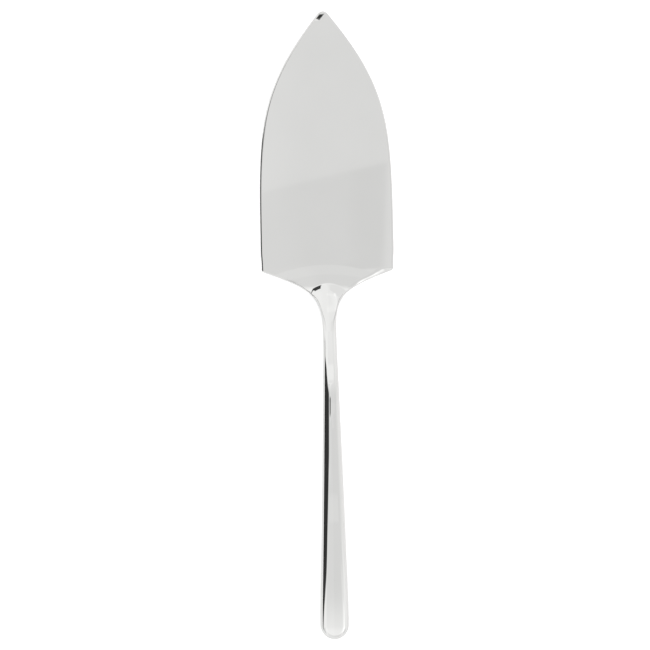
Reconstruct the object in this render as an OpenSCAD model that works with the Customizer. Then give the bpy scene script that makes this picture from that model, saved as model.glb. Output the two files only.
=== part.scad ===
// Cake server with a flat pointed blade and a hollow, flared handle.
// All lengths are in millimetres. +Y runs along the server to the tip of the blade and +Z is up.
// Plan shapes are outlines of [x, d], where d is the distance back from the tip. They are draped
// over a side profile that is flat under the blade, climbs the neck and arches down to the butt.

/* [Blade] */
// Length from the tip to the rear corners
blade_l = 108; // [90:0.5:130]
// Greatest width
blade_w = 55.2; // [44:0.2:70]
// Width across the rear corners
corner_w = 54.6; // [40:0.2:70]
// Thickness of the blade
blade_t = 1.5; // [1.2:0.1:2.4]
// Length of the pointed part
point_l = 98; // [60:0.5:100]
// Angle between the axis and the edge at the tip
tip_angle = 38.8; // [30:0.2:50]
// Radius of the rounded tip
tip_r = 2.4; // [1.5:0.1:5]
// Radius of the rear corners
corner_r = 1.2; // [0.8:0.1:3]
// Radius that takes the sharpness off the rim
rim_r = 0.5; // [0.2:0.05:0.6]

/* [Neck] */
// Length from the rear corners to the mouth of the handle
neck_l = 25.5; // [20:0.5:40]
// Width at the mouth of the handle
neck_w = 5.7; // [5:0.02:8]
// Thickness at the mouth of the handle
neck_t = 5.2; // [4.8:0.1:7]
// Angle between the rear edge and a line across the blade
sweep_angle = 20; // [5:1:35]
// Height that the neck climbs
neck_rise = 11.7; // [7:0.1:15]
// How far forward of the rear corners the shallow dish of the heel begins
dish_lead = 6; // [0.5:0.5:10]
// Slope of the dish
dish_angle = 2; // [0:0.5:5]
// Radius of the front of the dish, seen from above
dish_r = 60; // [30:1:90]
// How far behind the rear corners the neck's nose rises out of the heel
nose_set = 4.1; // [3:0.1:7]
// Length of the hollow in front of the nose
nose_l = 7; // [3:0.1:8]
// Radius of the nose, seen from above
nose_r = 8; // [6:0.5:20]
// Distance from the axis at which the sides of the nose begin to turn back
nose_side = 5.6; // [5:0.1:8]
// Radius with which they turn back
flank_r = 0.6; // [0.3:0.1:3]
// How far behind the rear corners the crest begins to turn the climb down
crest_set = 3.5; // [0.5:0.5:8]
// Length of the crest
crest_l = 38; // [30:0.5:46]

/* [Handle] */
// Length from its mouth to its butt end
handle_l = 126.5; // [100:0.5:160]
// Angle at which it still climbs behind the crest
climb_angle = 4; // [0:0.5:8]
// Width of the butt
butt_w = 11.8; // [9:0.1:18]
// Thickness of the butt
butt_t = 7; // [5.6:0.1:10]
// Radius along the long edges
edge_r = 2.9; // [1.6:0.1:3]
// Height of the straight side at the mouth
side_h = 0.8; // [0.6:0.1:1.2]
// Thickness of the shells
wall_t = 0.8; // [0.6:0.05:1]

/* [Tang and joints] */
// Length of the tang inside the handle
tang_l = 46; // [30:1:70]
// Space between the tang and the shells at the mouth
tang_room = 0.4; // [0.3:0.05:0.5]
// Radius along the edges of the tang
tang_r = 0.4; // [0.2:0.05:0.5]
// Depth of the keying notches in both sides of the tang
notch_depth = 0.4; // [0.2:0.05:0.6]
// Length of one notch
notch_l = 4; // [2:0.5:6]
// Distance from notch to notch
notch_pitch = 12; // [10:0.5:14]
// Length of the braze ring in the mouth
ring_l = 1.5; // [1:0.1:3]
// Depth of the braze bead along the seam
bead_depth = 0.4; // [0.2:0.05:0.5]
// Space left for the bond between cement and metal
bond_gap = 0.05; // [0.02:0.01:0.1]

/* [Hidden] */

// How far the control points of the curved edges reach, as shares of the edge's own length
point_share = 0.418;
shoulder_share = 0.52;
sweep_share = 0.95;
neck_share = 0.6;
// Length over which the handle's flare eases in and out, as a share of the handle
flare_share = 0.1;
// Where the points across the flat of the blade lie, as shares of its half width
flat_shares = [0.75, 0.5, 0.25];
// How far back on the neck it begins to swell and its edges to round, as shares of the neck
swell_share = 0.2;
round_share = 0.6;

tip_steps = 6;
point_steps = 18;
side_steps = 4;
corner_steps = 5;
sweep_steps = 24;
handle_steps = 22;
butt_steps = 9;
arc_steps = 5;
notches = 3;
// Least radius of an inner edge
least_r = 0.2;
// Space left under the butt, which leans down a little
rest_gap = 0.1;

overall_l = blade_l + neck_l + handle_l;
tip_y = overall_l / 2;
mouth_d = blade_l + neck_l;
butt_r = butt_w / 2;
butt_d = overall_l - butt_r;
dish_d = blade_l - dish_lead;
dish_l = dish_lead + crest_set;
nose_d = blade_l + nose_set;
crest_d = blade_l + crest_set;
top_d = crest_d + crest_l;
rest_d = overall_l - edge_r;
swell_d = blade_l + swell_share * neck_l;
round_d = blade_l + round_share * neck_l;
climb_slope = tan(climb_angle);
drop = blade_t / 2 + neck_rise + climb_slope * (rest_d - top_d) - butt_t / 2 - rest_gap;
dish_slope = tan(dish_angle);
crest_mid = crest_d + crest_l / 2;
dish_rise = dish_slope * (crest_mid - dish_d - dish_l / 2);
nose_slope = (neck_rise - dish_rise - climb_slope * crest_l / 2) / (crest_mid - nose_d - nose_l / 2);
turn_slope = dish_slope + nose_slope - climb_slope;
crest_r = turn_slope / (dish_slope / dish_r + nose_slope / nose_r);
mouth_r = handle_edge(neck_t / 2);
tang_x = neck_w / 2 - wall_t - tang_room;
tang_h = neck_t / 2 - wall_t - tang_room;
bead_h = side_h / 2 - 3 * bond_gap;

// Easing curves

function held(t) = max(0, min(1, t));

function smooth(t) = let (u = held(t)) u ^ 3 * (u * (6 * u - 15) + 10);

// Path whose slope grows from zero to one and stays there, and its slope
function ramp(t) = t < 0 ? 0 : t < 1 ? t ^ 3 * (1 - t / 2) : t - 1 / 2;

function ramp_slope(t) = let (u = held(t)) u ^ 2 * (3 - 2 * u);

function flare(t) =
    let (u = held(t), f = flare_share)
    u < f ? u ^ 2 / (2 * f * (1 - f)) :
    u > 1 - f ? 1 - (1 - u) ^ 2 / (2 * f * (1 - f)) :
    (u - f / 2) / (1 - f);

function curve(p, t) =
    (1 - t) ^ 3 * p[0] + 3 * t * (1 - t) ^ 2 * p[1] + 3 * t ^ 2 * (1 - t) * p[2] + t ^ 3 * p[3];

// Side profile. The heel dishes a little, the neck's nose climbs out of it, the crest eases the climb
// and the handle arches over to its butt. Off the axis the dish and the nose begin further back.

function dish_at(x, d) = (d - dish_d - x ^ 2 / (2 * dish_r)) / dish_l;

function flank_at(x, d) = d < mouth_d ? max(0, abs(x) - nose_side) : 0;

function nose_at(x, d) = (d - nose_d - x ^ 2 / (2 * nose_r) - flank_at(x, d) ^ 2 / (2 * flank_r)) / nose_l;

function crest_at(x, d) = (d - crest_d - x ^ 2 / (2 * crest_r)) / crest_l;

function fall_at(d) = max(0, d - top_d) / (rest_d - top_d);

function axis_z(x, d) =
    blade_t / 2
    + dish_slope * dish_l * ramp(dish_at(x, d))
    + nose_slope * nose_l * ramp(nose_at(x, d))
    - turn_slope * crest_l * ramp(crest_at(x, d))
    - drop * fall_at(d) ^ 2;

function axis_angle(x, d) = atan(
    dish_slope * ramp_slope(dish_at(x, d))
    + nose_slope * ramp_slope(nose_at(x, d))
    - turn_slope * ramp_slope(crest_at(x, d))
    - drop * 2 * fall_at(d) / (rest_d - top_d)
);

function draped(x, d, up) =
    let (a = axis_angle(x, d))
    [x, tip_y - d + up * sin(a), axis_z(x, d) + up * cos(a)];

// Half thickness and edge radius along the server

function blade_half(d) = (blade_t + (neck_t - blade_t) * smooth((d - swell_d) / (mouth_d - swell_d))) / 2;

function blade_edge(d) = rim_r + (mouth_r - rim_r) * smooth((d - round_d) / (mouth_d - round_d));

function handle_half(d) = (neck_t + (butt_t - neck_t) * flare((d - mouth_d) / (butt_d - mouth_d))) / 2;

function handle_edge(half) = min(edge_r, half - side_h / 2);

// Right half of the outlines, from front to back

tip_arc = [for (i = [0:tip_steps - 1]) let (a = i / tip_steps * (90 - tip_angle))
    tip_r * [sin(a), 1 - cos(a)]];

point_from = tip_r * [cos(tip_angle), 1 - sin(tip_angle)];
point_to = [blade_w / 2, point_l];
point_path = [
    point_from,
    point_from + point_share * point_l * [sin(tip_angle), cos(tip_angle)],
    point_to - [0, shoulder_share * point_l],
    point_to
];

side_path = [for (i = [1:side_steps - 1]) let (t = i / side_steps)
    [(blade_w + (corner_w - blade_w) * smooth(t)) / 2, point_l + (blade_l - corner_r - point_l) * t]];

corner_mid = [corner_w / 2, blade_l] - corner_r * [1, 1];
corner_arc = [for (i = [0:corner_steps - 1]) let (a = i / corner_steps * (90 - sweep_angle))
    corner_mid + corner_r * [cos(a), sin(a)]];

sweep_from = corner_mid + corner_r * [sin(sweep_angle), cos(sweep_angle)];
sweep_to = [neck_w / 2, mouth_d];
sweep_path = [
    sweep_from,
    sweep_from + sweep_share * (sweep_from[0] - sweep_to[0]) * [-cos(sweep_angle), sin(sweep_angle)],
    sweep_to - [0, neck_share * neck_l],
    sweep_to
];

blade_outline = concat(
    tip_arc,
    [for (i = [0:point_steps]) curve(point_path, i / point_steps)],
    side_path,
    corner_arc,
    [for (i = [0:sweep_steps]) curve(sweep_path, i / sweep_steps)]
);

handle_outline = concat(
    [[neck_w / 2, mouth_d]],
    [for (i = [0:handle_steps - 1])
        let (d = mouth_d + ring_l + (butt_d - mouth_d - ring_l) * i / handle_steps)
        [(neck_w + (butt_w - neck_w) * flare((d - mouth_d) / (butt_d - mouth_d))) / 2, d]],
    [for (i = [0:butt_steps]) let (a = 90 * i / butt_steps)
        [i == butt_steps ? 0 : butt_r * cos(a), butt_d + butt_r * sin(a)]]
);

// Stations are outline points with their outward normals, [x, d, normal x, normal d]

function mirrored(p) = [-p[0], p[1]];

function station(line, i) =
    let (
        last = len(line) - 1,
        p = line[i],
        ahead = i > 0 ? line[i - 1] : p[0] == 0 ? mirrored(line[1]) : p,
        behind = i < last ? line[i + 1] : p[0] == 0 ? mirrored(line[last - 1]) : p,
        run = p[1] == mouth_d ? [0, 1] : behind - ahead
    )
    [p[0], p[1], run[1] / norm(run), -run[0] / norm(run)];

function stations(line) = [for (i = [0:len(line) - 1]) station(line, i)];

blade_stations = stations(blade_outline);
handle_stations = stations(handle_outline);

// Section points are [distance in from the outline, height over the mid-surface]. A third number is
// the share of the way out from the axis, for points across the flat of the blade.

function quarter(half, edge, inset) =
    let (r = max(edge - inset, least_r))
    [for (i = [0:arc_steps]) let (a = 90 * i / arc_steps)
        [inset + r * (1 - cos(a)), half - inset - r + r * sin(a)]];

function turned(points) = [for (i = [len(points) - 1:-1:0]) points[i]];

function upside_down(section) = [for (q = turned(section)) [q[0], -q[1], q[2]]];

function placed(s, section, side) =
    [for (q = section)
        let (out_share = is_undef(q[2]) ? 1 : q[2])
        draped(side * out_share * (s[0] - q[0] * s[2]), s[1] - q[0] * s[3], q[1])];

// A closed ring round the whole section, up the right side and down the left
function full_ring(s, half, edge, inset = 0, between = [], across_shares = []) =
    let (
        arc = quarter(half, edge, inset),
        end = arc[arc_steps],
        top = concat(arc, [for (f = across_shares) [end[0], end[1], f]]),
        section = concat(upside_down(top), between, top)
    )
    concat(placed(s, section, 1), turned(placed(s, section, -1)));

// A ring round one half shell, over its outside and back along its inside
function shell_ring(s, half, edge, up) =
    let (
        outer = concat([[0, 0]], quarter(half, edge, 0)),
        inner = concat([[wall_t, 0]], quarter(half, edge, wall_t)),
        out_pairs = [for (q = outer) [q[0], up * q[1]]],
        in_pairs = [for (q = inner) [q[0], up * q[1]]],
        ring = concat(
            placed(s, out_pairs, 1), turned(placed(s, out_pairs, -1)),
            placed(s, in_pairs, -1), turned(placed(s, in_pairs, 1))
        )
    )
    up > 0 ? ring : turned(ring);

// Where two sides of a ring meet on the axis, both use the same points

function full_meet(m, flats = 0) =
    [for (j = [0:m - 1]) max(flats, min(j, m - 1 - j, m / 2 - 1 - flats))];

function shell_meet(m) =
    let (q = m / 2)
    [for (j = [0:m - 1]) j < q ? min(j, q - 1 - j) : q + max(j - q, 2 * q - 1 - j)];

// Solid skinned over rings. An end that meets on the axis closes itself. Any other end is capped by a
// ladder of faces whose first rung is at point cap_from.
module skin(rings, front_meet = [], rear_meet = [], looped = false, cap_from = 0) {
    m = len(rings[0]);
    n = len(rings);
    function at(i, j) =
        let (k = j % m)
        i == 0 && len(front_meet) > 0 ? front_meet[k] :
        i == n - 1 && len(rear_meet) > 0 ? i * m + rear_meet[k] :
        i % n * m + k;
    sides = [for (i = [0:looped ? n - 1 : n - 2], j = [0:m - 1])
        let (a = at(i, j), b = at(i, j + 1), c = at(i + 1, j + 1), d = at(i + 1, j))
        each [if (a != d && d != c) [a, d, c], if (a != b && b != c) [a, c, b]]];
    front_cap = [for (j = [0:m / 2 - 2])
        let (f = [for (k = [j, j + 1, m - 2 - j, m - 1 - j]) (k + cap_from) % m])
        each [[f[0], f[1], f[2]], [f[0], f[2], f[3]]]];
    rear_cap = [for (f = front_cap) (n - 1) * m * [1, 1, 1] + turned(f)];
    polyhedron([for (r = rings) each r], concat(
        sides,
        looped || len(front_meet) > 0 ? [] : front_cap,
        looped || len(rear_meet) > 0 ? [] : rear_cap
    ));
}

// Tang stations: distance behind the mouth and half width, narrower in the notches
notch_stations = [for (i = [1:notches])
    let (from = i * notch_pitch - notch_l)
    each [[from, tang_x], [from + notch_depth, tang_x - notch_depth],
        [from + notch_l - notch_depth, tang_x - notch_depth], [from + notch_l, tang_x]]];
tang_stations = concat([[0, tang_x]], notch_stations, [[tang_l, tang_x]]);

function tang_ring(q, room = 0, between = [], across_shares = []) =
    full_ring([q[1], mouth_d + q[0], 1, 0], tang_h, tang_r, -room, between, across_shares);

// Handle stations behind the braze ring
filled_stations = [for (i = [1:len(handle_stations) - 1]) handle_stations[i]];

// Section of the bead on the inside of the shells, and points to match it on a plain side

function bead_pairs(h, inset) =
    [[inset, -h], [inset + bead_depth, -h / 2], [inset + bead_depth, h / 2], [inset, h]];

function plain_side(room) = [for (q = [-1, -1 / 2, 1 / 2, 1]) [-room, q * bead_h]];

module blade() {
    body = [for (s = blade_stations)
        full_ring(s, blade_half(s[1]), blade_edge(s[1]), across_shares = flat_shares)];
    tang = [for (q = tang_stations) tang_ring(q, across_shares = flat_shares)];
    m = len(body[0]);
    color("gainsboro")
        skin(concat(body, tang), front_meet = full_meet(m, len(flat_shares)), cap_from = m / 4);
}

module half_shell(up) {
    rings = [for (s = handle_stations)
        let (half = handle_half(s[1]))
        shell_ring(s, half, handle_edge(half), up)];
    skin(rings, rear_meet = shell_meet(len(rings[0])));
}

module handle_upper_shell() {
    color("silver")
        half_shell(1);
}

module handle_lower_shell() {
    color("silver")
        half_shell(-1);
}

module handle_filler() {
    inset = wall_t + bond_gap;
    pocket_stations = concat([[ring_l, tang_x]], notch_stations, [[tang_l + bond_gap, tang_x]]);
    pocket = [for (q = turned(pocket_stations)) tang_ring(q, bond_gap, plain_side(bond_gap))];
    outside = [for (s = filled_stations)
        let (half = handle_half(s[1]))
        full_ring(s, half, handle_edge(half), inset, bead_pairs(bead_h + bond_gap, inset))];
    color("tan")
        skin(concat(pocket, outside), rear_meet = full_meet(len(outside[0])));
}

module seam_braze() {
    q = bead_pairs(bead_h, wall_t);
    section = [q[0], q[3], q[2], q[1]];
    right = [for (s = filled_stations) placed(s, section, 1)];
    left = [for (i = [len(filled_stations) - 2:-1:0]) placed(filled_stations[i], section, -1)];
    color("goldenrod")
        skin(concat(right, left));
}

module mouth_braze_ring() {
    outside = [for (s = [handle_stations[0], handle_stations[1]])
        let (half = handle_half(s[1]))
        full_ring(s, half, handle_edge(half), wall_t)];
    inside = [for (q = [ring_l, 0]) tang_ring([q, tang_x], bond_gap)];
    color("darkgoldenrod")
        skin(concat(inside, outside), looped = true);
}

blade();
handle_upper_shell();
handle_lower_shell();
handle_filler();
seam_braze();
mouth_braze_ring();
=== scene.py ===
"""Cake server in polished stainless steel, lying on a white table and seen from above."""
import math

import bmesh
import bpy
from mathutils import Matrix, Vector


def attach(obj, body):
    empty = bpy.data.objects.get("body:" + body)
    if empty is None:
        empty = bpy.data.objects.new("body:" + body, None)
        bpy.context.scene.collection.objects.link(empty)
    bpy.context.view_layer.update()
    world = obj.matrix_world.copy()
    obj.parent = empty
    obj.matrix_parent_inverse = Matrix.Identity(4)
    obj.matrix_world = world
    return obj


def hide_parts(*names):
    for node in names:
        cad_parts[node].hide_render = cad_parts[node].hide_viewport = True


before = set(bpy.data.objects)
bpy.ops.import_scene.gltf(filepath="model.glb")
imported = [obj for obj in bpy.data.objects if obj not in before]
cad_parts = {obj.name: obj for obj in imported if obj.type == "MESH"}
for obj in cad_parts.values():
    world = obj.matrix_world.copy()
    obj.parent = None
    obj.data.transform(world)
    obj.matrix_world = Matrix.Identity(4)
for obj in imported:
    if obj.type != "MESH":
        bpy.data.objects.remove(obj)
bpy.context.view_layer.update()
scene = bpy.context.scene
scene.view_settings.view_transform = "Standard"

# Sizes in millimetres, as in the part's own source
MM = 0.001
# Blade, its tip and its rear corners
BLADE_L, BLADE_W, CORNER_W, BLADE_T = 108.0, 55.2, 54.6, 1.5
POINT_L, TIP_ANGLE, TIP_R, CORNER_R, RIM_R = 98.0, math.radians(38.8), 2.4, 1.2, 0.5
# Neck, and the dish, nose and crest of its side profile
NECK_L, NECK_W, NECK_T, SWEEP_ANGLE = 25.5, 5.7, 5.2, math.radians(20.0)
NECK_RISE, DISH_LEAD, DISH_ANGLE, DISH_R = 11.7, 6.0, math.radians(2.0), 60.0
NOSE_SET, NOSE_L, NOSE_R, CREST_SET, CREST_L = 4.1, 7.0, 8.0, 3.5, 38.0
NOSE_SIDE, FLANK_R = 5.6, 0.6
# Handle, its wall and its height over the table at the butt
HANDLE_L, CLIMB_ANGLE, BUTT_W, BUTT_T = 126.5, math.radians(4.0), 11.8, 7.0
EDGE_R, SIDE_H, WALL_T, REST_GAP = 2.9, 0.8, 0.8, 0.1
# Tang and its notches
TANG_L, TANG_ROOM, TANG_R = 46.0, 0.4, 0.4
NOTCH_DEPTH, NOTCH_L, NOTCH_PITCH, NOTCHES = 0.4, 4.0, 12.0, 3
# Shares that shape the outlines and the swell of the neck
POINT_SHARE, SHOULDER_SHARE, SWEEP_SHARE, NECK_SHARE = 0.418, 0.52, 0.95, 0.6
FLARE_SHARE, SWELL_SHARE, ROUND_SHARE = 0.1, 0.2, 0.6

# Places, as distances behind the tip, and the slopes of the side profile
OVERALL_L = BLADE_L + NECK_L + HANDLE_L
TIP_Y = OVERALL_L / 2
TIP_END = (TIP_R * math.cos(TIP_ANGLE), TIP_R * (1 - math.sin(TIP_ANGLE)))
MOUTH_D = BLADE_L + NECK_L
BUTT_R = BUTT_W / 2
BUTT_D = OVERALL_L - BUTT_R
DISH_D = BLADE_L - DISH_LEAD
DISH_L = DISH_LEAD + CREST_SET
NOSE_D = BLADE_L + NOSE_SET
CREST_D = BLADE_L + CREST_SET
TOP_D = CREST_D + CREST_L
REST_D = OVERALL_L - EDGE_R
FALL_L = REST_D - TOP_D
SWELL_D = BLADE_L + SWELL_SHARE * NECK_L
ROUND_D = BLADE_L + ROUND_SHARE * NECK_L
CLIMB_SLOPE = math.tan(CLIMB_ANGLE)
DROP = BLADE_T / 2 + NECK_RISE + CLIMB_SLOPE * FALL_L - BUTT_T / 2 - REST_GAP
DISH_SLOPE = math.tan(DISH_ANGLE)
CREST_MID = CREST_D + CREST_L / 2
DISH_RISE = DISH_SLOPE * (CREST_MID - DISH_D - DISH_L / 2)
NOSE_RISE = NECK_RISE - DISH_RISE - CLIMB_SLOPE * CREST_L / 2
NOSE_SLOPE = NOSE_RISE / (CREST_MID - NOSE_D - NOSE_L / 2)
TURN_SLOPE = DISH_SLOPE + NOSE_SLOPE - CLIMB_SLOPE
CREST_R = TURN_SLOPE / (DISH_SLOPE / DISH_R + NOSE_SLOPE / NOSE_R)
TANG_X = NECK_W / 2 - WALL_T - TANG_ROOM
TANG_H = NECK_T / 2 - WALL_T - TANG_ROOM

# Hairline left where two polished pieces meet
HAIRLINE = 0.025
# Faint crease between edge and flat round the mouth: angle, start, end and length of its fades
CREASE_ANGLE, CREASE_START, CREASE_END, CREASE_FADE = math.radians(8.0), 126.0, 149.0, 7.0
LEAST_CREASE = 0.01
# Wear on the left of the tip: slope and width of two facets, then their start, end and fade
TIP_FACETS = ((math.tan(math.radians(5.1)), 2.12), (math.tan(math.radians(8.0)), 0.58))
TIP_WEAR_START, TIP_WEAR_END, TIP_WEAR_FADE = 0.9, 3.3, 0.4
# Wear of the rear edge on the right: a facet that starts on the sweep and widens to the corner
REAR_SLOPE, REAR_WS, REAR_LEAD = math.tan(math.radians(18.0)), (1.2, 2.3), 1.2
REAR_START_X, REAR_START_L, REAR_WIDEN_X, REAR_WIDEN_L = 8.0, 10.0, 16.0, 7.0
# Roll of the same edge, where it faces the rear
ROLL_DEPTH, ROLL_W, ROLL_FACING, ROLL_FADE = 0.36, 1.6, 0.8, 0.12

# Steps of the meshes along the outlines and round the edges
TIP_STEPS, POINT_STEPS, SIDE_STEPS, CORNER_STEPS, SWEEP_STEPS = 12, 130, 16, 12, 110
HANDLE_STEPS, BUTT_STEPS, EDGE_STEPS = 130, 28, 10
POINT_CROWDING = 1.7
LEAST_R = 0.2
SHARP_ANGLE = math.radians(40)
# Shares of the half width where the flats have their points: at the rim, farther in, in the middle
ACROSS_RIM = (0.985, 0.95, 0.91)
ACROSS_FLAT = tuple(0.86 - 0.05 * i for i in range(10))
ACROSS_MIDDLE = tuple(0.37 - 0.04 * i for i in range(10))


# Easing curves and side profile

def held(t):
    return max(0.0, min(1.0, t))


def smooth(t):
    u = held(t)
    return u ** 3 * (u * (6 * u - 15) + 10)


def ramp(t):
    """Path whose slope grows from zero to one and stays there."""
    return 0.0 if t < 0 else t ** 3 * (1 - t / 2) if t < 1 else t - 0.5


def ramp_slope(t):
    u = held(t)
    return u ** 2 * (3 - 2 * u)


def flare(t):
    """Straight widening with soft ends."""
    u, f = held(t), FLARE_SHARE
    if u < f:
        return u ** 2 / (2 * f * (1 - f))
    if u > 1 - f:
        return 1 - (1 - u) ** 2 / (2 * f * (1 - f))
    return (u - f / 2) / (1 - f)


def curve(p, t):
    """Point on the curve from the first to the last of four points, steered by the two between."""
    s = 1 - t
    pulls = (s ** 3, 3 * t * s ** 2, 3 * t ** 2 * s, t ** 3)
    return tuple(sum(w * c for w, c in zip(pulls, axis)) for axis in zip(*p))


def draped(x, d, up):
    """A point in metres, x off the axis, d behind the tip and up over the mid-surface."""
    dish = (d - DISH_D - x ** 2 / (2 * DISH_R)) / DISH_L
    flank = max(0.0, abs(x) - NOSE_SIDE) if d < MOUTH_D else 0.0
    nose = (d - NOSE_D - x ** 2 / (2 * NOSE_R) - flank ** 2 / (2 * FLANK_R)) / NOSE_L
    crest = (d - CREST_D - x ** 2 / (2 * CREST_R)) / CREST_L
    bends = (
        (dish, DISH_SLOPE, DISH_L),
        (nose, NOSE_SLOPE, NOSE_L),
        (crest, -TURN_SLOPE, CREST_L),
    )
    climb = sum(slope * length * ramp(t) for t, slope, length in bends)
    lean = sum(slope * ramp_slope(t) for t, slope, length in bends)
    fall = max(0.0, d - TOP_D) / FALL_L
    a = math.atan(lean - DROP * 2 * fall / FALL_L)
    z = BLADE_T / 2 + climb - DROP * fall ** 2
    return (MM * x, MM * (TIP_Y - d + up * math.sin(a)), MM * (z + up * math.cos(a)))


# Half thickness and edge radius along the server

def handle_edge(half):
    return min(EDGE_R, half - SIDE_H / 2)


def blade_half(d):
    swell = smooth((d - SWELL_D) / (MOUTH_D - SWELL_D))
    return (BLADE_T + (NECK_T - BLADE_T) * swell) / 2


def blade_edge(d):
    rounding = smooth((d - ROUND_D) / (MOUTH_D - ROUND_D))
    return RIM_R + (handle_edge(NECK_T / 2) - RIM_R) * rounding


def handle_half(d):
    return (NECK_T + (BUTT_T - NECK_T) * flare((d - MOUTH_D) / (BUTT_D - MOUTH_D))) / 2


# Right half of the outlines, as (x, d) from front to back

def spread(n):
    return [i / n for i in range(n)]


def arc(middle, r, turn, steps):
    """Points of an arc that starts on the right and turns to the rear."""
    turns = [t * turn for t in spread(steps)]
    return [(middle[0] + r * math.cos(a), middle[1] + r * math.sin(a)) for a in turns]


def blade_outline():
    lean = math.pi / 2 - TIP_ANGLE
    turns = [t * lean for t in spread(TIP_STEPS)]
    tip = [(TIP_R * math.sin(a), TIP_R * (1 - math.cos(a))) for a in turns]
    shoulder = (BLADE_W / 2, POINT_L)
    reach = POINT_SHARE * POINT_L
    point_path = [
        TIP_END,
        (TIP_END[0] + reach * math.sin(TIP_ANGLE), TIP_END[1] + reach * math.cos(TIP_ANGLE)),
        (shoulder[0], shoulder[1] - SHOULDER_SHARE * POINT_L),
        shoulder,
    ]
    point = [curve(point_path, t ** POINT_CROWDING) for t in spread(POINT_STEPS)]
    side_l = BLADE_L - CORNER_R - POINT_L
    side = [
        ((BLADE_W + (CORNER_W - BLADE_W) * smooth(t)) / 2, POINT_L + side_l * t)
        for t in spread(SIDE_STEPS)
    ]
    middle = (CORNER_W / 2 - CORNER_R, BLADE_L - CORNER_R)
    corner = arc(middle, CORNER_R, math.pi / 2 - SWEEP_ANGLE, CORNER_STEPS)
    start = (
        middle[0] + CORNER_R * math.sin(SWEEP_ANGLE),
        middle[1] + CORNER_R * math.cos(SWEEP_ANGLE),
    )
    end = (NECK_W / 2, MOUTH_D)
    reach = SWEEP_SHARE * (start[0] - end[0])
    sweep_path = [
        start,
        (start[0] - reach * math.cos(SWEEP_ANGLE), start[1] + reach * math.sin(SWEEP_ANGLE)),
        (end[0], end[1] - NECK_SHARE * NECK_L),
        end,
    ]
    sweep = [curve(sweep_path, t) for t in spread(SWEEP_STEPS)]
    return tip + point + side + corner + sweep + [end]


def handle_outline():
    length = BUTT_D - MOUTH_D
    side = [
        ((NECK_W + (BUTT_W - NECK_W) * flare(t)) / 2, MOUTH_D + length * t)
        for t in spread(HANDLE_STEPS)
    ]
    butt = arc((0.0, BUTT_D), BUTT_R, math.pi / 2, BUTT_STEPS)
    return side + butt + [(0.0, OVERALL_L)]


def stations(line):
    """Outline points with their outward normals, (x, d, normal x, normal d)."""
    out = []
    for i, (x, d) in enumerate(line):
        ahead = line[i - 1] if i else (-line[1][0], line[1][1])
        behind = line[i + 1] if i + 1 < len(line) else (-line[-2][0], line[-2][1])
        run = (0.0, 1.0) if d == MOUTH_D else (behind[0] - ahead[0], behind[1] - ahead[1])
        length = math.hypot(*run)
        out.append((x, d, run[1] / length, -run[0] / length))
    return out


# Sections, as (distance in from the outline, height over the mid-surface, share of the way out
# from the axis)

def crease_at(d):
    """Angle between the rounded edge and the flat, which meet in a faint crease round the mouth."""
    started = smooth((d - CREASE_START) / CREASE_FADE)
    ended = smooth((d - CREASE_END) / CREASE_FADE)
    return CREASE_ANGLE * started * (1 - ended)


def quarter(half, edge, inset, crease=0.0):
    """Upper edge of a section, from its side to its flat."""
    r = max(edge - inset, LEAST_R)
    turns = [i / EDGE_STEPS * (math.pi / 2 - crease) for i in range(EDGE_STEPS + 1)]
    return [
        (inset + r * (1 - math.cos(a)), half - inset - r + r * math.sin(a), 1.0) for a in turns
    ]


def worn(x, d):
    """How far use has turned the top down left of the tip and by the right rear corner."""
    inside = (x + TIP_END[0]) * math.cos(TIP_ANGLE) + (d - TIP_END[1]) * math.sin(TIP_ANGLE)
    at_tip = sum(slope * max(0.0, w - inside) for slope, w in TIP_FACETS)
    at_tip *= smooth((d - TIP_WEAR_START) / TIP_WEAR_FADE)
    at_tip *= 1 - smooth((d - TIP_WEAR_END) / TIP_WEAR_FADE)
    from_side, from_rear = CORNER_W / 2 - x, BLADE_L - d
    inside = from_side * math.sin(SWEEP_ANGLE) + from_rear * math.cos(SWEEP_ANGLE)
    narrow, wide = REAR_WS
    width = narrow + (wide - narrow) * smooth((x - REAR_WIDEN_X) / REAR_WIDEN_L)
    at_rear = REAR_SLOPE * max(0.0, width - inside) * smooth((x - REAR_START_X) / REAR_START_L)
    return at_tip + at_rear * smooth((d - BLADE_L + CORNER_R) / REAR_LEAD)


def placed(s, section, side):
    """Points of a section at one station, on the right (1) or the left (-1)."""
    straight = smooth((s[3] - ROLL_FACING) / ROLL_FADE) if side > 0 else 0.0
    out = []
    for o, up, f in section:
        reach = s[0] - o * s[2]
        x, d = side * f * reach, s[1] - o * s[3]
        if d < MOUTH_D:
            inside = o + (1 - f) * reach * s[2]
            roll = ROLL_DEPTH * max(0.0, 1 - inside / ROLL_W) ** 2 * straight
            up -= (worn(x, d) + roll) * max(0.0, up) / (BLADE_T / 2)
        out.append(draped(x, d, up))
    return out


def full_ring(s, half, edge, across=()):
    rim = quarter(half, edge, 0.0, crease_at(s[1]))
    top = rim + [(rim[-1][0], rim[-1][1], f) for f in across]
    section = [(o, -up, f) for o, up, f in reversed(top)] + top
    return placed(s, section, 1) + placed(s, section, -1)[::-1]


def shell_ring(s, half, edge, up):
    crease = crease_at(s[1])
    outer = [(HAIRLINE, 0.0, 1.0), (0.0, HAIRLINE, 1.0)] + quarter(half, edge, 0.0, crease)
    inner = [(WALL_T, 0.0, 1.0), (WALL_T, HAIRLINE, 1.0)] + quarter(half, edge, WALL_T)
    outer, inner = ([(o, up * z, f) for o, z, f in part] for part in (outer, inner))
    outside = placed(s, outer, 1) + placed(s, outer, -1)[::-1]
    return outside + placed(s, inner, -1) + placed(s, inner, 1)[::-1]


# Meshes skinned over rings

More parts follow.
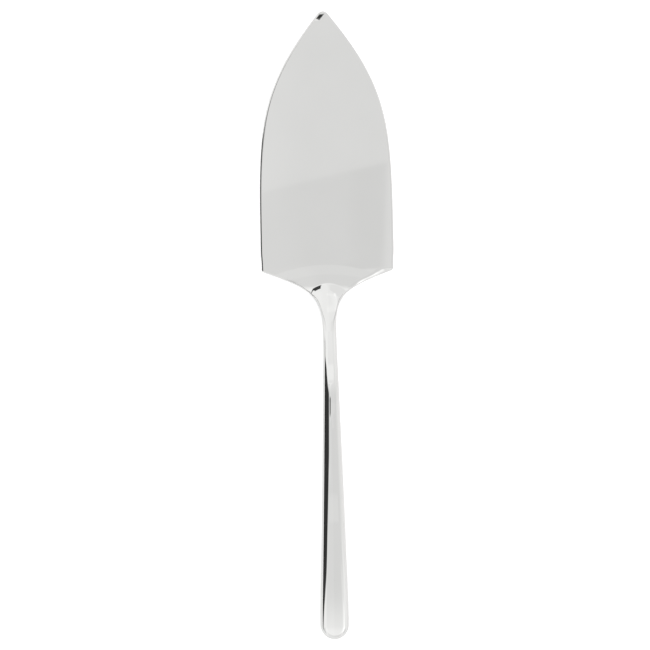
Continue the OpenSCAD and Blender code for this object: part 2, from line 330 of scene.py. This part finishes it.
def full_meet(m, flats=0):
    """Which point stands for each point of a full ring that closes on the axis."""
    return [max(flats, min(j, m - 1 - j, m // 2 - 1 - flats)) for j in range(m)]


def shell_meet(m):
    """Which point stands for each point of a shell ring that closes on the axis."""
    q = m // 2
    return [min(j, q - 1 - j) if j < q else q + max(j - q, 2 * q - 1 - j) for j in range(m)]


def cap_ends(bm, row):
    """Closes a ring with a ladder of faces between its two halves."""
    m = len(row)
    for j in range(m // 2 - 1):
        bm.faces.new([row[j], row[j + 1], row[m - 2 - j], row[m - 1 - j]])


def skinned(name, rings, creases=(), front_meet=None, rear_meet=None):
    """A piece over rings of points. An end that meets on the axis closes itself, or is capped."""
    m, n = len(rings[0]), len(rings)
    bm = bmesh.new()
    rows = []
    for i, ring in enumerate(rings):
        meet = front_meet if i == 0 else rear_meet if i == n - 1 else None
        made = {}
        row = []
        for j in range(m):
            k = meet[j] if meet else j
            if k not in made:
                made[k] = bm.verts.new(ring[k])
            row.append(made[k])
        rows.append(row)
    for here, there in zip(rows, rows[1:]):
        for j in range(m):
            k = (j + 1) % m
            corners = list(dict.fromkeys([here[j], there[j], there[k], here[k]]))
            if len(corners) > 2:
                bm.faces.new(corners)
    if not front_meet:
        cap_ends(bm, rows[0])
    if not rear_meet:
        cap_ends(bm, rows[-1])
    bmesh.ops.recalc_face_normals(bm, faces=bm.faces[:])
    for face in bm.faces:
        face.smooth = True
    for e in bm.edges:
        e.smooth = e.calc_face_angle(0.0) < SHARP_ANGLE
    for i, j in creases:
        bm.edges.get((rows[i][j], rows[i + 1][j])).smooth = False
    mesh = bpy.data.meshes.new(name)
    bm.to_mesh(mesh)
    bm.free()
    piece = bpy.data.objects.new(name, mesh)
    scene.collection.objects.link(piece)
    return piece


def creases_along(places, columns):
    """Edges to keep sharp: the given columns of points, between places where there is a crease."""
    creased = [i for i, s in enumerate(places) if crease_at(s[1]) > LEAST_CREASE]
    return [(i, j) for i in creased for j in columns]


def make_blade():
    across = ACROSS_RIM + ACROSS_FLAT + ACROSS_MIDDLE
    flats = len(across)
    places = stations(blade_outline())
    rings = [full_ring(s, blade_half(s[1]), blade_edge(s[1]), across) for s in places]
    tang = [(0.0, TANG_X)]
    for i in range(1, NOTCHES + 1):
        start, end = i * NOTCH_PITCH - NOTCH_L, i * NOTCH_PITCH
        floor = TANG_X - NOTCH_DEPTH
        tang += [(start, TANG_X), (start + NOTCH_DEPTH, floor)]
        tang += [(end - NOTCH_DEPTH, floor), (end, TANG_X)]
    tang.append((TANG_L, TANG_X))
    rings += [full_ring((x, MOUTH_D + d, 1.0, 0.0), TANG_H, TANG_R, across) for d, x in tang]
    m = len(rings[0])
    columns = (flats, m // 2 - 1 - flats, m // 2 + flats, m - 1 - flats)
    creases = creases_along(places[:-1], columns)
    return skinned("blade_forging", rings, creases, front_meet=full_meet(m, flats))


def make_half_shell(name, up):
    places = stations(handle_outline())
    halves = [handle_half(s[1]) for s in places]
    rings = [shell_ring(s, half, handle_edge(half), up) for s, half in zip(places, halves)]
    m = len(rings[0])
    creases = creases_along(places[:-2], (m // 4 - 1, m // 4))
    return skinned(name, rings, creases, rear_meet=shell_meet(m))


blade = make_blade()
upper = make_half_shell("upper_half_shell", 1)
lower = make_half_shell("lower_half_shell", -1)


# Finishes

STEEL, CEMENT, BRAZE = (0.70, 0.70, 0.69), (0.62, 0.55, 0.45), (0.80, 0.68, 0.42)
# Polishing lines and patches: noise scales, depths in metres, roughness, spread of tone and gloss
LINE_SCALE, PATCH_SCALE = (2600.0, 45.0, 2600.0), 38.0
LINE_DEPTH, WAVE_DEPTH = 1e-8, 2e-7
MIRROR_ROUGHNESS, TONE_SPREAD, GLOSS_SPREAD = 0.015, 0.03, 0.4
# Grain of cement and braze: share of tone in the dark spots, where they end, strength and depth
SPOT_TONE, SPOT_ENDS, GRAIN_STRENGTH, GRAIN_DEPTH = 0.75, (0.3, 0.7), 0.4, 0.0002


def new_group(name, inputs, outputs):
    group = bpy.data.node_groups.new(name, "ShaderNodeTree")
    for label, kind, value in inputs:
        socket = group.interface.new_socket(label, in_out="INPUT", socket_type=kind)
        socket.default_value = value
    for label, kind in outputs:
        group.interface.new_socket(label, in_out="OUTPUT", socket_type=kind)
    return group, group.nodes.new("NodeGroupInput"), group.nodes.new("NodeGroupOutput")


def new_material(name):
    material = bpy.data.materials.new(name)
    material.use_nodes = True
    tree = material.node_tree
    return material, tree, tree.nodes["Principled BSDF"]


def add(tree, kind, settings=None, **values):
    node = tree.nodes.new(kind)
    for key, value in (settings or {}).items():
        setattr(node, key, value)
    for key, value in values.items():
        node.inputs[key.replace("_", " ")].default_value = value
    return node


def polish_marks_group():
    """Fine straight lines of the polishing wheel, and patches where it pressed more or less."""
    group, given, out = new_group(
        "polish_marks",
        [
            ("Line Scale", "NodeSocketVector", LINE_SCALE),
            ("Patch Scale", "NodeSocketFloat", PATCH_SCALE),
        ],
        [("Lines", "NodeSocketFloat"), ("Patches", "NodeSocketFloat")],
    )
    link = group.links.new
    place = add(group, "ShaderNodeTexCoord")
    stretch = add(group, "ShaderNodeVectorMath", {"operation": "MULTIPLY"})
    link(place.outputs["Object"], stretch.inputs[0])
    link(given.outputs["Line Scale"], stretch.inputs[1])
    lines = add(group, "ShaderNodeTexNoise", Scale=1.0, Detail=3.0, Roughness=0.6)
    link(stretch.outputs[0], lines.inputs["Vector"])
    patches = add(group, "ShaderNodeTexNoise", Detail=2.0, Roughness=0.5)
    link(place.outputs["Object"], patches.inputs["Vector"])
    link(given.outputs["Patch Scale"], patches.inputs["Scale"])
    link(lines.outputs["Fac"], out.inputs["Lines"])
    link(patches.outputs["Fac"], out.inputs["Patches"])
    return group


def polished_steel(name):
    material, tree, shader = new_material(name)
    link = tree.links.new
    shader.inputs["Metallic"].default_value = 1.0
    marks = add(tree, "ShaderNodeGroup", {"node_tree": POLISH_MARKS})
    marks.inputs["Line Scale"].default_value = LINE_SCALE
    tone = add(tree, "ShaderNodeMapRange", To_Min=1 - TONE_SPREAD, To_Max=1 + TONE_SPREAD)
    link(marks.outputs["Patches"], tone.inputs["Value"])
    tint = add(tree, "ShaderNodeMix", {"data_type": "RGBA", "blend_type": "MULTIPLY"})
    tint.inputs["Factor"].default_value = 1.0
    tint.inputs["A"].default_value = (*STEEL, 1.0)
    link(tone.outputs["Result"], tint.inputs["B"])
    link(tint.outputs["Result"], shader.inputs["Base Color"])
    low, high = (MIRROR_ROUGHNESS * (1 + change) for change in (-GLOSS_SPREAD, GLOSS_SPREAD))
    gloss = add(tree, "ShaderNodeMapRange", To_Min=low, To_Max=high)
    link(marks.outputs["Lines"], gloss.inputs["Value"])
    link(gloss.outputs["Result"], shader.inputs["Roughness"])
    wave = add(tree, "ShaderNodeBump", Strength=1.0, Distance=WAVE_DEPTH)
    link(marks.outputs["Patches"], wave.inputs["Height"])
    fine = add(tree, "ShaderNodeBump", Strength=1.0, Distance=LINE_DEPTH)
    link(marks.outputs["Lines"], fine.inputs["Height"])
    link(wave.outputs["Normal"], fine.inputs["Normal"])
    link(fine.outputs["Normal"], shader.inputs["Normal"])
    return material


def plain_finish(name, colour, metallic, low, high, scale):
    """Cement and brazing alloy inside the handle: mottled tone with a slight grain."""
    material, tree, shader = new_material(name)
    link = tree.links.new
    shader.inputs["Metallic"].default_value = metallic
    place = add(tree, "ShaderNodeTexCoord")
    grain = add(tree, "ShaderNodeTexNoise", Scale=scale, Detail=6.0, Roughness=0.65)
    link(place.outputs["Object"], grain.inputs["Vector"])
    spots = add(tree, "ShaderNodeValToRGB")
    for stop, end, share in zip(spots.color_ramp.elements, SPOT_ENDS, (SPOT_TONE, 1.0)):
        stop.position = end
        stop.color = (*[c * share for c in colour], 1.0)
    link(grain.outputs["Fac"], spots.inputs["Fac"])
    link(spots.outputs["Color"], shader.inputs["Base Color"])
    gloss = add(tree, "ShaderNodeMapRange", To_Min=low, To_Max=high)
    link(grain.outputs["Fac"], gloss.inputs["Value"])
    link(gloss.outputs["Result"], shader.inputs["Roughness"])
    rough = add(tree, "ShaderNodeBump", Strength=GRAIN_STRENGTH, Distance=GRAIN_DEPTH)
    link(grain.outputs["Fac"], rough.inputs["Height"])
    link(rough.outputs["Normal"], shader.inputs["Normal"])
    return material


POLISH_MARKS = polish_marks_group()
blade_steel = polished_steel("mirror_polished_blade_steel")
handle_steel = polished_steel("mirror_polished_handle_steel")
cement = plain_finish("handle_cement", CEMENT, metallic=0.0, low=0.7, high=0.95, scale=900.0)
braze = plain_finish("brazing_alloy", BRAZE, metallic=1.0, low=0.25, high=0.45, scale=600.0)

for piece, node, material in (
    (blade, "blade", blade_steel),
    (upper, "handle_upper_shell", handle_steel),
    (lower, "handle_lower_shell", handle_steel),
):
    piece.data.materials.append(material)
    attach(piece, "root")
    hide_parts(node)

for node, material in (
    ("handle_filler", cement),
    ("seam_braze", braze),
    ("mouth_braze_ring", braze),
):
    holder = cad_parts[node]
    holder.data.materials.clear()
    holder.data.materials.append(material)


# White table

WHITE = (1.0, 1.0, 1.0, 1.0)
TABLE_HALF, TABLE_Z, TABLE_COLOUR, TABLE_ROUGHNESS = 4.0, -0.00005, (0.9, 0.9, 0.9, 1.0), 0.9
# Lift of its tone to a white ground, as the camera sees it and as the steel mirrors it
CAMERA_LIFT, MIRROR_LIFT = 0.45, 0.24


def make_table():
    mesh = bpy.data.meshes.new("white_table")
    turns = ((-1, -1), (1, -1), (1, 1), (-1, 1))
    corners = [(TABLE_HALF * x, TABLE_HALF * y, TABLE_Z) for x, y in turns]
    mesh.from_pydata(corners, [], [(0, 1, 2, 3)])
    table = bpy.data.objects.new("white_table", mesh)
    scene.collection.objects.link(table)
    material, tree, shader = new_material("white_table_top")
    link = tree.links.new
    shader.inputs["Base Color"].default_value = TABLE_COLOUR
    shader.inputs["Roughness"].default_value = TABLE_ROUGHNESS
    shader.inputs["Specular IOR Level"].default_value = 0.0
    rays = add(tree, "ShaderNodeLightPath")
    glossy = add(tree, "ShaderNodeMath", {"operation": "MULTIPLY"})
    glossy.inputs[1].default_value = MIRROR_LIFT
    link(rays.outputs["Is Glossy Ray"], glossy.inputs[0])
    lift = add(tree, "ShaderNodeMath", {"operation": "MULTIPLY_ADD"})
    lift.inputs[1].default_value = CAMERA_LIFT
    link(rays.outputs["Is Camera Ray"], lift.inputs[0])
    link(glossy.outputs[0], lift.inputs[2])
    shader.inputs["Emission Color"].default_value = WHITE
    link(lift.outputs[0], shader.inputs["Emission Strength"])
    mesh.materials.append(material)


make_table()


# Studio round the table: a soft white tent with a dark opening on the left.
# An edge is an axis and the two distances along it between which a panel fades in.
# A panel is its strength and the edges that bound it.

LEFT, RIGHT = (-1.0, 0.0, 0.0), (1.0, 0.0, 0.0)
FRONT, REAR = (0.0, 1.0, 0.0), (0.0, -1.0, 0.0)
UP, DOWN = (0.0, 0.0, 1.0), (0.0, 0.0, -1.0)

BASE_LIGHT = 0.925
AHEAD_OF_SEAM = ((-0.22, 1.0, 0.0), 0.0219, 0.0225)
BEHIND_SEAM = ((0.22, -1.0, 0.0), -0.0225, -0.0219)
OVER_BLADE = (FRONT, 0.002, 0.008)
FRONT_CLOTH = (FRONT, 0.095, 0.12)
# The front cloth is brighter to the left of a sharp fold, which either of two edges bounds
FOLD_LIGHT = 0.10
FOLD_EDGES = (((-1.0, 0.0, -0.65), -0.56, -0.50), ((-1.0, 0.08, 0.0), -0.06, 0.0))

LIGHT_PANELS = {
    "ceiling_ahead_of_seam": (0.05, AHEAD_OF_SEAM),
    "ceiling_left": (0.03, (LEFT, -0.036, -0.026)),
    "ceiling_fold": (
        -0.025, (RIGHT, 0.042, 0.046), (LEFT, -0.054, -0.050), BEHIND_SEAM, OVER_BLADE,
    ),
    "ceiling_right_hem": (
        0.085, ((1.0, -0.06, 0.0), 0.0485, 0.0502), (LEFT, -0.08, -0.06), BEHIND_SEAM, OVER_BLADE,
    ),
    "ceiling_front_hem": (-0.03, (FRONT, 0.066, 0.073), (REAR, -0.1, -0.088)),
    "ceiling_left_patch": (
        0.08, (LEFT, 0.005, 0.02), (RIGHT, -0.12, -0.08), (REAR, -0.03, 0.0), (FRONT, -0.15, -0.1),
    ),
    "ceiling_rear_patch": (
        0.05,
        (RIGHT, -0.06, -0.01),
        (LEFT, -0.15, -0.1),
        (REAR, 0.15, 0.17),
        (FRONT, -0.235, -0.22),
    ),
    "front_cloth": (0.08, FRONT_CLOTH),
    "front_cloth_top": (
        0.10,
        (FRONT, 0.125, 0.142),
        (REAR, -0.18, -0.155),
        (RIGHT, -0.08, -0.02),
        (LEFT, -0.09, -0.05),
    ),
    "front_cloth_right": (
        0.16, (FRONT, 0.82, 0.88), (REAR, -0.94, -0.92), (RIGHT, 0.22, 0.26), (LEFT, -0.34, -0.29),
    ),
    "front_cloth_low_band": (
        0.06, (FRONT, 0.90, 0.93), (REAR, -0.965, -0.945), (RIGHT, -0.06, 0.0),
    ),
    "left_cloth": (0.04, (LEFT, 0.1, 0.3)),
    "left_cloth_rear": (0.17, (LEFT, 0.2, 0.5), (REAR, 0.2, 0.35), (FRONT, -0.52, -0.42)),
    "right_cloth": (0.15, (RIGHT, 0.3, 1.1)),
    "right_cloth_rear": (0.12, (RIGHT, 0.55, 0.8), (REAR, 0.17, 0.27)),
    "rear_cloth": (0.29, (REAR, 0.36, 0.56), (LEFT, -0.70, -0.50), (RIGHT, -0.70, -0.50)),
    "rear_cloth_right": (0.12, (REAR, 0.28, 0.36), (RIGHT, 0.1, 0.3), (UP, 0.45, 0.6)),
    "rear_lamp": (
        0.20, (REAR, 0.365, 0.40), (RIGHT, 0.36, 0.46), (LEFT, -0.74, -0.62), (UP, 0.52, 0.62),
    ),
    "rear_lamp_glow": (0.12, (REAR, 0.42, 0.46), (RIGHT, 0.3, 0.5), (UP, 0.4, 0.6)),
}

# Shares of the light that dark things take away
DARK_PANELS = {
    "opening": (
        0.955,
        (LEFT, 0.02, 0.055),
        ((-0.072, -1.0, 0.0), -0.104, -0.084),
        ((-0.636, 1.0, 0.0), -0.085, -0.025),
        (FRONT, -0.36, -0.31),
    ),
    "low_opening": (0.9, (LEFT, 0.8, 0.88), (DOWN, -0.24, -0.16), (REAR, -0.32, -0.22)),
    "camera_lens": (
        0.95,
        (RIGHT, -0.02, -0.012),
        ((-1.0, 0.2, 0.0), -0.002, 0.004),
        (FRONT, 0.03, 0.045),
        (REAR, -0.088, -0.078),
    ),
    "lamp_arm": (
        0.95,
        ((-1.0, -0.338, 0.0), -0.068, -0.060),
        ((1.0, 0.37, 0.0), -0.014, 0.004),
        ((-0.5, 1.0, 0.0), 0.125, 0.145),
        (REAR, -0.48, -0.42),
    ),
    "lamp_knob": (
        0.95,
        (LEFT, 0.065, 0.08),
        (RIGHT, -0.135, -0.12),
        (FRONT, 0.15, 0.165),
        (REAR, -0.205, -0.19),
    ),
    # Walls of the room, darker towards the floor
    "front_wall": (0.35, (FRONT, 0.6, 0.8), (DOWN, -0.2, -0.05)),
    "rear_wall": (
        0.15, (REAR, 0.55, 0.70), (DOWN, -0.68, -0.5), (LEFT, -0.5, -0.35), (RIGHT, -0.5, -0.35),
    ),
    "front_left_wall": (0.38, (LEFT, 0.46, 0.62), (FRONT, 0.38, 0.56), (DOWN, -0.7, -0.3)),
    "front_right_wall": (0.38, (RIGHT, 0.46, 0.62), (FRONT, 0.38, 0.56), (DOWN, -0.7, -0.3)),
    "rear_left_wall": (0.12, (LEFT, 0.42, 0.60), (REAR, 0.40, 0.58), (DOWN, -0.5, -0.25)),
    "rear_right_wall": (0.12, (RIGHT, 0.42, 0.60), (REAR, 0.40, 0.58), (DOWN, -0.5, -0.25)),
}


def make_studio():
    world = bpy.data.worlds.new("studio")
    scene.world = world
    world.use_nodes = True
    tree = world.node_tree
    link = tree.links.new
    back = tree.nodes["Background"]
    way = add(tree, "ShaderNodeTexCoord").outputs["Generated"]

    def edge(axis, low, high):
        along = add(tree, "ShaderNodeVectorMath", {"operation": "DOT_PRODUCT"})
        link(way, along.inputs[0])
        along.inputs[1].default_value = axis
        soft = add(tree, "ShaderNodeMapRange", {"interpolation_type": "SMOOTHSTEP"})
        link(along.outputs["Value"], soft.inputs["Value"])
        soft.inputs["From Min"].default_value = low
        soft.inputs["From Max"].default_value = high
        return soft.outputs["Result"]

    def joined(kind, *parts):
        """Numbers and sockets taken together by one kind of sum."""
        total = parts[0]
        for part in parts[1:]:
            node = add(tree, "ShaderNodeMath", {"operation": kind})
            for socket, value in zip(node.inputs, (total, part)):
                if isinstance(value, (int, float)):
                    socket.default_value = value
                else:
                    link(value, socket)
            total = node.outputs[0]
        return total

    def panel(amount, *edges):
        return joined("MULTIPLY", *[edge(*e) for e in edges], amount)

    bright_side = joined("MAXIMUM", *[edge(*e) for e in FOLD_EDGES])
    lights = [panel(*parts) for parts in LIGHT_PANELS.values()]
    lights.append(joined("MULTIPLY", FOLD_LIGHT, edge(*FRONT_CLOTH), bright_side))
    left_over = [joined("SUBTRACT", 1.0, panel(*parts)) for parts in DARK_PANELS.values()]
    level = joined("MULTIPLY", joined("ADD", BASE_LIGHT, *lights), *left_over)
    rays = add(tree, "ShaderNodeLightPath")
    plain = add(tree, "ShaderNodeMix")
    link(rays.outputs["Is Camera Ray"], plain.inputs["Factor"])
    link(level, plain.inputs["A"])
    plain.inputs["B"].default_value = 1.0
    link(plain.outputs["Result"], back.inputs["Strength"])
    back.inputs["Color"].default_value = WHITE


make_studio()


# Camera over the table, leaning a little to the left

IMAGE_PX, PX_PER_M = 650.0, 2411.3
# Where the middle of the server's box falls in the image
MIDDLE_X_PX, MIDDLE_Y_PX = 328.549, 324.72
CAMERA_UP, CAMERA_ROLL, CAMERA_LEAN = 2.0, math.radians(1.104), math.radians(2.205)
SENSOR_MM, FARTHEST = 36.0, 100.0


def make_camera():
    data = bpy.data.cameras.new("overhead")
    data.sensor_fit = "HORIZONTAL"
    data.sensor_width = SENSOR_MM
    data.lens = SENSOR_MM * PX_PER_M * CAMERA_UP / IMAGE_PX
    data.shift_x = -(MIDDLE_X_PX - IMAGE_PX / 2) / IMAGE_PX
    data.shift_y = (MIDDLE_Y_PX - IMAGE_PX / 2) / IMAGE_PX
    data.clip_end = FARTHEST
    camera = bpy.data.objects.new("overhead", data)
    scene.collection.objects.link(camera)
    turn = Matrix.Rotation(-CAMERA_LEAN, 4, "Y") @ Matrix.Rotation(-CAMERA_ROLL, 4, "Z")
    camera.matrix_world = turn @ Matrix.Translation(Vector((0.0, 0.0, CAMERA_UP)))
    scene.camera = camera


make_camera()
